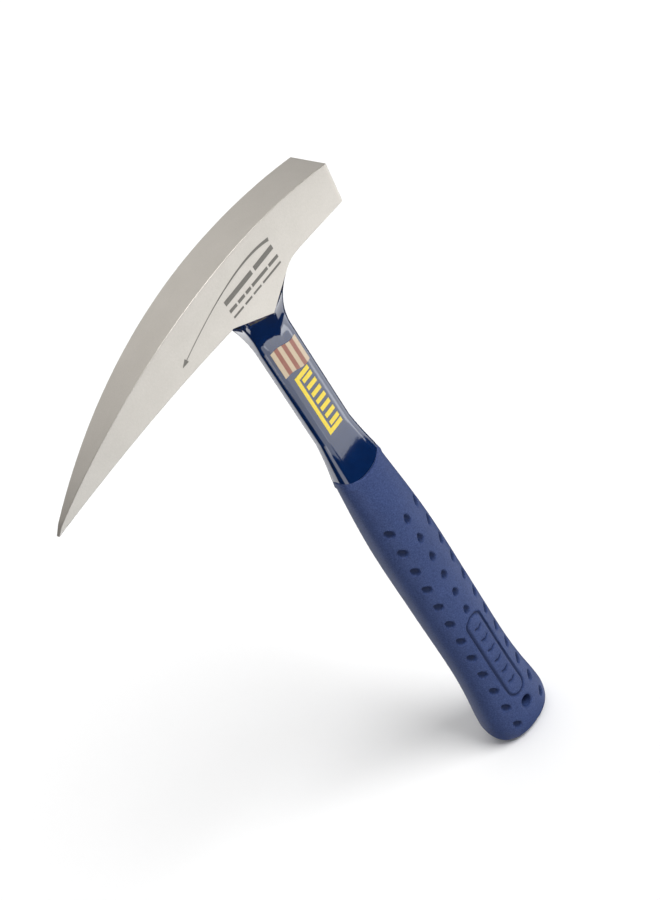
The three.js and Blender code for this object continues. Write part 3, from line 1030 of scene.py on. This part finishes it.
    def outer_rings(self) -> list[list[Vector]]:
        """Returns the rings of the outside, from the butt to the lip of the mouth."""
        power = 2 / self.section_power
        columns = []
        for i in range(self.around):
            turn = math.tau * i / self.around
            reach = signed_power(math.cos(turn), power)
            bulge = signed_power(math.sin(turn), power)
            side = Side.FRONT if bulge < 0 else Side.BACK
            top = self.neck.mouth_at(reach * self.size_at(self.neck.mouth_z)[0])
            places = [((top - self.lip_radius) * row / self.rows, 0.0) for row in range(self.rows)]
            for step in range(self.lip_steps + 1):
                roll = math.pi / 2 * step / self.lip_steps
                places.append((top - self.lip_radius * (1 - math.sin(roll)),
                               self.lip_radius * (1 - math.cos(roll))))
            column = []
            for z, tuck in places:
                half_width, half_thickness = self.size_at(z)
                x, y = reach * (half_width - tuck), bulge * (half_thickness - tuck)
                sink = self.relief(x, z, side) * clamp(abs(bulge) * self.relief_fade)
                column.append(Vector((x, y - math.copysign(sink, bulge), z)))
            columns.append(column)
        return [list(ring) for ring in zip(*columns)]

    def bore_rings(self) -> list[list[Vector]]:
        """Returns the rings of the bore that the shank stands in, from the lip down."""
        rings = []
        for step in range(self.bore_rows + 1):
            ring = []
            for i in range(self.around):
                turn = math.tau * i / self.around
                z = self.neck.mouth_z
                for _ in range(self.mouth_passes):
                    z = self.neck.mouth_at(self.neck.point(turn, z, 0).x)
                z = z - self.bore_depth * step / self.bore_rows
                ring.append(self.neck.point(turn, z, self.bore_gap))
            rings.append(ring)
        return rings

    def drill(self, obj: Object) -> None:
        """Cuts the hang hole through the grip, its walls marked for painted shade."""
        bit_data = bmesh.new()
        bmesh.ops.create_cone(bit_data, cap_ends=True, segments=self.hole_segments,
                              radius1=self.hole_radius, radius2=self.hole_radius,
                              depth=self.bit_reach * self.butt_half_thickness)
        turn = Matrix.Rotation(math.pi / 2, 4, "X")
        bmesh.ops.transform(bit_data, matrix=turn, verts=bit_data.verts)
        bmesh.ops.translate(bit_data, vec=(0, 0, self.hole_z), verts=bit_data.verts)
        bit = finish_mesh("bit", bit_data)
        # painted shade: the walls that the bit cuts are marked as fully shaded, so the bore
        # renders dark
        shade = bit.data.attributes.new(PAINTED_SHADE_ATTRIBUTE, "FLOAT", "POINT")
        for value in shade.data:
            value.value = 1.0
        modifier = obj.modifiers.new("hole", "BOOLEAN")
        modifier.object = bit
        modifier.operation = "DIFFERENCE"
        modifier.solver = "EXACT"
        settle(obj)
        bpy.data.objects.remove(bit)

    def build(self, vinyl: Material) -> Object:
        """Returns the grip in its vinyl.

        Args:
            vinyl: material of the grip.

        Returns:
            The grip as one plain mesh.
        """
        rings = self.outer_rings() + self.bore_rings()
        grip = finish_mesh("vinyl_grip", loft(rings), self.sharp_angle)
        # painted shade in the mark's grooves and on the hang hole's lip, by how deep they sink
        recess = grip.data.attributes.new(PAINTED_SHADE_ATTRIBUTE, "FLOAT", "POINT")
        for vertex, value in zip(grip.data.vertices, recess.data):
            side = Side.FRONT if vertex.co.y < 0 else Side.BACK
            value.value = clamp(self.relief(vertex.co.x, vertex.co.z, side) / self.mark_depth)
        dress(grip, vinyl)
        pitch = (self.dimple_top - self.dimple_low) / (self.dimple_rows - 1)
        Dimples(self.dimple_rows, self.dimple_top, pitch, self.dimple_column,
                self.dimple_lean).press(grip, vinyl)
        Dimples(self.middle_rows, self.dimple_top, pitch, 0.0, 0.0,
                width=self.middle_width).press(grip, vinyl)
        self.drill(grip)
        grip.data.set_sharp_from_angle(angle=math.radians(self.sharp_angle))
        return grip


def smooth_curve(points: Sequence[Vector], steps: int) -> list[Vector]:
    """Samples a centripetal Catmull-Rom curve.

    Args:
        points: points that the curve passes through.
        steps: samples between two points.

    Returns:
        The samples, with the first and last point among them.
    """
    run = [2 * points[0] - points[1], *points, 2 * points[-1] - points[-2]]
    curve = []
    for a, b, c, d in zip(run, run[1:], run[2:], run[3:]):
        knots = [0.0]
        for low, high in ((a, b), (b, c), (c, d)):
            knots.append(knots[-1] + math.sqrt((high - low).length))
        t0, t1, t2, t3 = knots
        for step in range(steps):
            t = lerp(t1, t2, step / steps)
            a1 = a * ((t1 - t) / (t1 - t0)) + b * ((t - t0) / (t1 - t0))
            a2 = b * ((t2 - t) / (t2 - t1)) + c * ((t - t1) / (t2 - t1))
            a3 = c * ((t3 - t) / (t3 - t2)) + d * ((t - t2) / (t3 - t2))
            b1 = a1 * ((t2 - t) / (t2 - t0)) + a2 * ((t - t0) / (t2 - t0))
            b2 = a2 * ((t3 - t) / (t3 - t1)) + a3 * ((t - t1) / (t3 - t1))
            curve.append(b1 * ((t2 - t) / (t2 - t1)) + b2 * ((t - t1) / (t2 - t1)))
    curve.append(points[-1].copy())
    return curve


@dataclass
class CheekMark:
    """Etched tapering arc with an arrowhead, and plain bars under it, on the front cheek."""

    head: HeadShape
    film: float = 0.04 * MM
    start: Pair = (17.3 * MM, 319.6 * MM)
    bend: Pair = (-3.5 * MM, 326.4 * MM)
    end: Pair = (-43.2 * MM, 311.9 * MM)
    start_half: float = 0.85 * MM
    end_half: float = 0.2 * MM
    taper_speed: float = 1.35
    taper_power: float = 0.7
    arrow_length: float = 3.6 * MM
    arrow_half: float = 1.35 * MM
    arrow_step: float = 0.02 * MM
    arrow_tip_half: float = 0.03 * MM
    steps: int = 40
    bar_step: float = 2 * MM

    def cheek(self, x: float) -> float:
        """Returns Y of the front cheek at x."""
        return -self.head.width_at(x)

    def stroke(self) -> list[Station]:
        """Returns the stations of the arc, then of its arrowhead."""
        start, bend, end = Vector(self.start), Vector(self.bend), Vector(self.end)
        stations = []
        for step in range(self.steps + 1):
            t = step / self.steps
            middle = start.lerp(bend, t).lerp(bend.lerp(end, t), t)
            way = (bend - start).lerp(end - bend, t).normalized()
            share = min(1.0, t * self.taper_speed) ** self.taper_power
            half = lerp(self.start_half, self.end_half, share)
            stations.append((middle, way, half))
        stations.append((middle + way * self.arrow_step, way, self.arrow_half))
        stations.append((middle + way * self.arrow_length, way, self.arrow_tip_half))
        return stations

    def bars(self) -> list[list[Station]]:
        """Returns the stations of each plain bar: three rows, each broken into blocks."""
        rows = [
            ((-15.6, 315.4), (17.0, 315.7), 1.2, (0.0, 0.56, 0.61, 1.0)),
            ((-15.6, 310.9), (17.0, 310.5), 0.8,
             (0.0, 0.14, 0.17, 0.30, 0.33, 0.43, 0.46, 0.78, 0.81, 1.0)),
            ((-15.4, 307.4), (16.6, 307.2), 0.5, (0.0, 0.20, 0.24, 0.38, 0.42, 0.58, 0.62, 1.0)),
        ]
        blocks = []
        for start, end, half, cuts in rows:
            low, high = Vector(start) * MM, Vector(end) * MM
            way = (high - low).normalized()
            for first, last in zip(cuts[::2], cuts[1::2]):
                steps = max(1, round((high - low).length * (last - first) / self.bar_step))
                places = [lerp(first, last, i / steps) for i in range(steps + 1)]
                blocks.append([(low.lerp(high, place), way, half * MM) for place in places])
        return blocks

    def build(self) -> Object:
        """Returns the etched mark as one piece."""
        films = [ribbon(stations, self.cheek, self.film)
                 for stations in (self.stroke(), *self.bars())]
        return finish_mesh("cheek_etching", join(films))


@dataclass
class Transfers:
    """Printed films on the front flat: a plain striped patch and plain yellow bars."""

    neck: NeckShape
    film: float = 0.06 * MM
    gap: float = 0.03 * MM
    columns: int = 14
    row_step: float = 1.5 * MM
    wave: float = 0.7 * MM
    skew: float = 3 * MM
    end_block: float = 2.4 * MM
    rail: float = 1.8 * MM
    bar_start: float = 2.9 * MM
    bar_half: float = 1.2 * MM
    bar_count: int = 7

    def flat(self, x: float, z: float) -> float:
        """Returns Y just off the lacquer on the front flat at (x, z)."""
        return -self.neck.flat_at(x, z, 0) - self.gap

    def sheet(self, x_range: Pair, z_range: Pair,
              shift: Callable[[float], float]) -> BMesh:
        """Makes a film that follows the flat.

        Args:
            x_range: lowest and highest X before the shift.
            z_range: lowest and highest Z before the shift.
            shift: how far the film's edge moves along Z, by its place across from 0 to 1.

        Returns:
            The film, closed.
        """
        columns = self.columns
        rows = max(2, round((z_range[1] - z_range[0]) / self.row_step))
        film = bmesh.new()
        layers = []
        for depth in (0.0, self.film):
            layer = []
            for j in range(rows + 1):
                line = []
                for i in range(columns + 1):
                    x = lerp(*x_range, i / columns)
                    z = lerp(*z_range, j / rows) + shift(i / columns)
                    line.append(film.verts.new((x, self.flat(x, z) - depth, z)))
                layer.append(line)
            layers.append(layer)
        under, over = layers
        for j in range(rows):
            for i in range(columns):
                for layer in layers:
                    film.faces.new((layer[j][i], layer[j][i + 1],
                                    layer[j + 1][i + 1], layer[j + 1][i]))
        edge = [(0, i) for i in range(columns)] + [(j, columns) for j in range(rows)]
        edge += [(rows, i) for i in range(columns, 0, -1)] + [(j, 0) for j in range(rows, 0, -1)]
        for (j, i), (m, k) in zip(edge, edge[1:] + edge[:1]):
            film.faces.new((under[j][i], under[m][k], over[m][k], over[j][i]))
        return film

    def patch(self) -> Object:
        """Returns the striped patch, with a slight wave in its ends."""
        low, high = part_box("patch_transfer")

        def shift(across: float) -> float:
            """Returns how far the ends move at a place across the patch."""
            return self.wave * math.sin(math.tau * across) - self.skew * (across - 0.5)

        film = self.sheet((low.x, high.x), (low.z, high.z), shift)
        return finish_mesh("patch_film", film)

    def bars(self) -> Object:
        """Returns the yellow bars: a rail with a row of cross bars between two end blocks."""
        low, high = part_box("bar_transfer")
        length = high.z - low.z
        across, end = (low.x, high.x), self.end_block
        blocks = [(across, (high.z - end, high.z)), (across, (low.z, low.z + end)),
                  ((low.x, low.x + self.rail), (low.z + end, high.z - end))]
        for i in range(self.bar_count):
            middle = low.z + length * (i + 1) / (self.bar_count + 1)
            blocks.append(((low.x + self.bar_start, high.x),
                           (middle - self.bar_half, middle + self.bar_half)))
        films = [self.sheet(x_range, z_range, lambda across: 0.0) for x_range, z_range in blocks]
        return finish_mesh("bar_film", join(films))


# ---------------------------------------------------------------- studio


@dataclass(frozen=True)
class Softbox:
    """A rectangular panel that faces the hammer and shows only in its reflections."""

    name: str
    direction: Triple
    size: Pair
    radiance: float
    colour: Triple = (1, 1, 1)
    distance: float = 2.1

    def build(self, aim: Vector) -> None:
        """Adds the light, facing the given point and unseen by the camera."""
        data = bpy.data.lights.new(self.name, "AREA")
        data.shape = "RECTANGLE"
        data.size, data.size_y = self.size
        data.color = self.colour
        data.energy = self.radiance * math.pi * self.size[0] * self.size[1]
        light = bpy.data.objects.new(self.name, data)
        way = Vector(self.direction).normalized()
        light.location = aim + way * self.distance
        light.rotation_euler = (-way).to_track_quat("-Z", "Y").to_euler()
        light.visible_camera = False
        light.visible_diffuse = False
        bpy.context.scene.collection.objects.link(light)


@dataclass(frozen=True)
class Studio:
    """Pale floor, soft lights and the camera."""

    target: Triple = (-6.66 * MM, 0.0, 211.15 * MM)
    turn: float = math.radians(-28.3376)
    tilt: float = math.radians(40.004)
    roll: float = math.radians(33.411)
    distance: float = 1.0
    lens: float = 92.673
    aim: Triple = (0.0, 0.0, 0.26)
    front_slope: float = math.radians(-41)
    front_middle: float = math.radians(-61.6)
    floor_half: float = 30.0
    floor_grey: float = 0.87
    floor_roughness: float = 0.9
    horizon: float = 0.05
    sky: float = 0.40
    ground: float = 0.03
    key_direction: Triple = (0.29, -0.55, 0.78)
    key_irradiance: float = 2.6
    key_angle: float = math.radians(32)
    top_direction: Triple = (0.22, 0.17, 0.96)
    top_irradiance: float = 0.65
    top_angle: float = math.radians(55)

    def floor_material(self) -> Material:
        """Returns the floor's plain pale material."""
        grey = self.floor_grey
        values = {"Base Color": (grey, grey, grey, 1), "Roughness": self.floor_roughness,
                  "Specular IOR Level": 0.0}
        return Surface("pale_floor", values).material

    def floor(self) -> None:
        """Makes the floor, which reflections leave out and which casts no shadow."""
        data = bmesh.new()
        bmesh.ops.create_grid(data, x_segments=1, y_segments=1, size=self.floor_half)
        floor = finish_mesh("floor", data)
        dress(floor, self.floor_material())
        floor.visible_glossy = False
        floor.visible_shadow = False

    def world(self) -> None:
        """Makes a sky over dark ground for reflections, and plain white for the camera."""
        world = bpy.data.worlds.new("studio")
        world.use_nodes = True
        bpy.context.scene.world = world
        graph = Graph(world.node_tree)
        background = world.node_tree.nodes["Background"]
        way = graph.node("ShaderNodeTexCoord").outputs["Generated"]
        axes = graph.node("ShaderNodeSeparateXYZ", {0: way})
        values = {"From Min": -self.horizon, "From Max": self.horizon,
                  "To Min": self.ground, "To Max": self.sky}
        level = graph.node("ShaderNodeMapRange", {"Value": axes.outputs["Z"]}, values)
        seen = graph.field(graph.node("ShaderNodeLightPath").outputs["Is Camera Ray"])
        strength = seen.math("MAXIMUM", graph.field(level.outputs[0]))
        world.node_tree.links.new(strength.socket, background.inputs["Strength"])
        background.inputs["Color"].default_value = (1, 1, 1, 1)

    def broad_light(self, name: str, direction: Triple, irradiance: float,
                    angle: float) -> None:
        """Adds a broad distant light.

        Args:
            name: name of the light.
            direction: where it stands, seen from the hammer.
            irradiance: its light on a surface that faces it.
            angle: how wide it looks, in radians.
        """
        data = bpy.data.lights.new(name, "SUN")
        data.energy = irradiance
        data.angle = angle
        light = bpy.data.objects.new(name, data)
        light.rotation_euler = (-Vector(direction)).to_track_quat("-Z", "Y").to_euler()
        bpy.context.scene.collection.objects.link(light)

    def softboxes(self) -> list[Softbox]:
        """Returns the panels that steel and lacquer mirror: one high behind, the rest lower."""
        boxes = [
            Softbox("high_back", (0.4, 1.0, 0.8), (5.4, 3.0), 0.63, distance=4.0),
            Softbox("low_back", (-0.36, 0.67, -0.64), (1.3, 0.8), 2.0),
            Softbox("low_right", (0.54, 0.13, -0.83), (1.05, 0.36), 1.5),
            Softbox("low_left", (-0.64, -0.64, -0.42), (1.3, 1.0), 2.6),
            Softbox("far_back", (0.68, 0.68, -0.26), (1.7, 1.0), 2.6),
            Softbox("far_right", (0.96, 0.05, -0.28), (1.4, 0.8), 2.6),
            Softbox("front", (0.1, -1.0, 0.16), (2.2, 0.7), 2.0),
            Softbox("straight_below", (-0.15, 0.04, -1.0), (0.56, 0.56), 2.4),
        ]
        slope = self.front_slope
        tints = ((-44, 2.1, (0.92, 0.96, 1.0)), (0, 2.8, (0.96, 0.98, 1.0)),
                 (36, 2.65, (0.96, 0.98, 1.0)))
        for offset, radiance, colour in tints:
            turn = self.front_middle + math.radians(offset)
            way = (math.cos(turn) * math.cos(slope), math.sin(turn) * math.cos(slope),
                   math.sin(slope))
            boxes.append(Softbox(f"low_front_{offset}", way, (1.3, 0.75), radiance, colour))
        return boxes

    def camera(self) -> None:
        """Places the camera, rolled so that the handle runs down to the right."""
        back = Vector((math.sin(self.turn) * math.cos(self.tilt),
                       -math.cos(self.turn) * math.cos(self.tilt), math.sin(self.tilt)))
        level = Vector((math.cos(self.turn), math.sin(self.turn), 0))
        up = back.cross(level)
        right = level * math.cos(self.roll) - up * math.sin(self.roll)
        above = level * math.sin(self.roll) + up * math.cos(self.roll)
        data = bpy.data.cameras.new("camera")
        data.sensor_fit = "AUTO"
        data.sensor_width = 36
        data.lens = self.lens
        camera = bpy.data.objects.new("camera", data)
        rows = Matrix((right, above, back)).transposed()
        place = Vector(self.target) + back * self.distance
        camera.matrix_world = Matrix.Translation(place) @ rows.to_4x4()
        bpy.context.scene.collection.objects.link(camera)
        bpy.context.scene.camera = camera

    def build(self) -> None:
        """Sets up the whole studio."""
        self.floor()
        self.world()
        self.broad_light("key", self.key_direction, self.key_irradiance, self.key_angle)
        self.broad_light("top", self.top_direction, self.top_irradiance, self.top_angle)
        for box in self.softboxes():
            box.build(Vector(self.aim))
        self.camera()
        bpy.context.scene.view_settings.view_transform = "Standard"


# ---------------------------------------------------------------- assembly


def main() -> None:
    """Builds the hammer piece by piece, then its studio."""
    logging.basicConfig(level=logging.INFO, format="%(name)s: %(message)s")
    Studio().build()
    head = HeadShape.from_frame()
    neck = NeckShape.from_frame(head)

    body = ForgedBody(head, neck).build()
    dress(body, SatinSteel().material())
    seat(body, "forged_steel", "forged_body")

    coat = LacquerCoat(neck).build()
    dress(coat, NavyLacquer().material())
    seat(coat, "blue_lacquer", "lacquer_coat")

    grip = VinylGrip.from_frame(neck).build(MouldedVinyl().material())
    seat(grip, "blue_vinyl", "grip")

    mark = CheekMark(head).build()
    dress(mark, EtchedMark().material())
    seat(mark, "forged_steel")

    transfers = Transfers(neck)
    patch = transfers.patch()
    stripes = PrintedFilm("striped_patch", (0.50, 0.40, 0.27), (0.25, 0.075, 0.045), 4.3 * MM)
    dress(patch, stripes.material())
    seat(patch, "patch_print", "patch_transfer")

    bars = transfers.bars()
    yellow = PrintedFilm("yellow_bars", (0.80, 0.62, 0.008), (0.66, 0.49, 0.006))
    dress(bars, yellow.material())
    seat(bars, "yellow_print", "bar_transfer")


if __name__ == "__main__":
    main()
